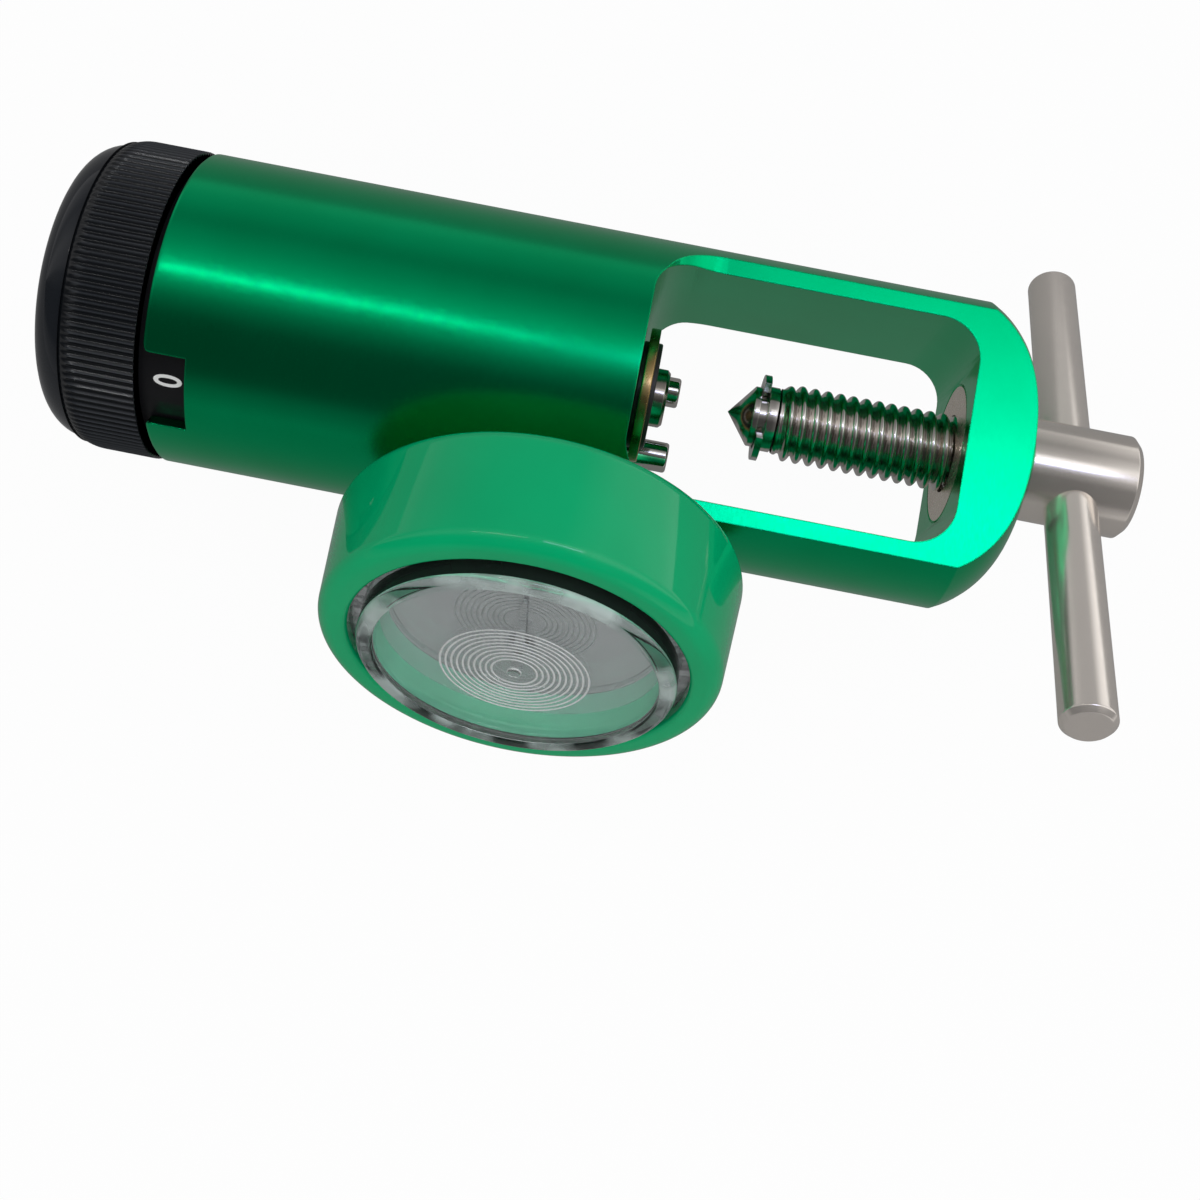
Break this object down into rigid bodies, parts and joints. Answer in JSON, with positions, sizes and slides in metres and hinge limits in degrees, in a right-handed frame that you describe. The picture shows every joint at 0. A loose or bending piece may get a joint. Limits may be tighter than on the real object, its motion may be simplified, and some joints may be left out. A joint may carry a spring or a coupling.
{
  "type": "oxygen regulator",
  "caption": "Oxygen regulator with a post-valve yoke, T-handle clamp screw, index pins, click flow knob, contents gauge in a rubber boot and a barbed hose outlet.",
  "frame": {"origin": "on the barrel's axis, at the flat inlet face inside the yoke", "axes": "+X along the barrel's axis from the flow knob towards the T handle, +Z along the yoke window, away from the index pins (up when the regulator hangs on a cylinder's post valve), +Y completes the right-handed frame; the gauge faces -Y and +Z"},
  "size_m": [0.1306, 0.0783, 0.0736],
  "materials": {
    "green_anodised": "turned and milled aluminium, anodised green, satin",
    "number_black": "black plastic with white moulded-in numbers",
    "knob_black": "ribbed aluminium, anodised black, smooth shoulder and end",
    "brass": "turned brass, plain",
    "nickel": "nickel-plated brass, bright",
    "screw_steel": "dark machined steel",
    "bush_steel": "machined steel, oiled",
    "clip_steel": "bright spring steel",
    "stainless": "satin turned stainless steel",
    "pin_steel": "polished stainless steel",
    "seal_rubber_black": "black rubber bonded to a ring",
    "o_ring": "black O-ring rubber",
    "bronze": "sintered bronze",
    "nylon": "natural nylon",
    "spring_steel": "spring steel",
    "boot_green": "green rubber, slightly shiny",
    "window_clear": "clear moulded polycarbonate",
    "case_steel": "drawn steel, plated",
    "dial_grey": "bright grey dial plate, clear lacquered",
    "pointer_grey": "grey lacquered sheet, close to the dial's tone"
  },
  "bodies": {
    "housing": {"body": "green_anodised", "yoke_bush": "bush_steel", "inlet_nipple": "nickel", "inlet_filter": "bronze", "seal_ring": "brass", "seal_rubber": "seal_rubber_black", "index_pin_front": "pin_steel", "index_pin_rear": "pin_steel", "seat_holder": "brass", "valve_seat": "nylon", "piston_spring": "spring_steel", "port_block": "brass", "block_seals": "o_ring", "port_seal": "o_ring", "bonnet": "brass", "spindle_seal": "o_ring", "click_spring": "spring_steel", "outlet_washer": "nylon", "hose_barb": "nickel", "gauge_stem": "brass", "gauge_case": "case_steel", "gauge_boot": "boot_green", "gauge_window": "window_clear", "gauge_dial": "dial_grey", "gauge_bridge": "brass", "pressure_coil": "bronze"},
    "flow_knob": {"flow_knob": "knob_black", "number_ring": "number_black", "flow_spindle": "stainless", "orifice_disc": "stainless"},
    "clamp_carrier": {"retaining_clip": "clip_steel"},
    "clamp": {"clamp_screw": "screw_steel", "tee_hub": "stainless", "tee_bar": "stainless"},
    "piston": {"piston": "brass", "piston_seal": "o_ring", "stem_seal": "o_ring"},
    "pointer": {"gauge_pointer": "pointer_grey", "pointer_arbor": "stainless"}
  },
  "joints": [
    {"name": "flow_knob_turn", "type": "hinge", "parent": "housing", "child": "flow_knob", "pos_m": [-0.0565, 0, 0], "axis": [1, 0, 0], "continuous": true},
    {"name": "clamp_feed", "type": "slide", "parent": "housing", "child": "clamp_carrier", "axis": [1, 0, 0], "range_m": [-0.0003, 0.0226]},
    {"name": "clamp_turn", "type": "hinge", "parent": "clamp_carrier", "child": "clamp", "pos_m": [0.04, 0, 0], "axis": [1, 0, 0], "range_deg": [-60, 5100]},
    {"name": "piston_slide", "type": "slide", "parent": "housing", "child": "piston", "axis": [1, 0, 0], "range_m": [0, 0.0006], "stiffness_N_per_m": 2000, "deforming": ["piston_spring"]},
    {"name": "pointer_turn", "type": "hinge", "parent": "housing", "child": "pointer", "pos_m": [-0.007, -0.0338, 0.0167], "axis": [0, -0.8965, 0.4431], "range_deg": [0, 270], "stiffness_Nm_per_rad": 0.0005}
  ],
  "couplings": [
    {"joint": "clamp_feed", "follows": "clamp_turn", "m_per_rad": 0.00025266}
  ]
}
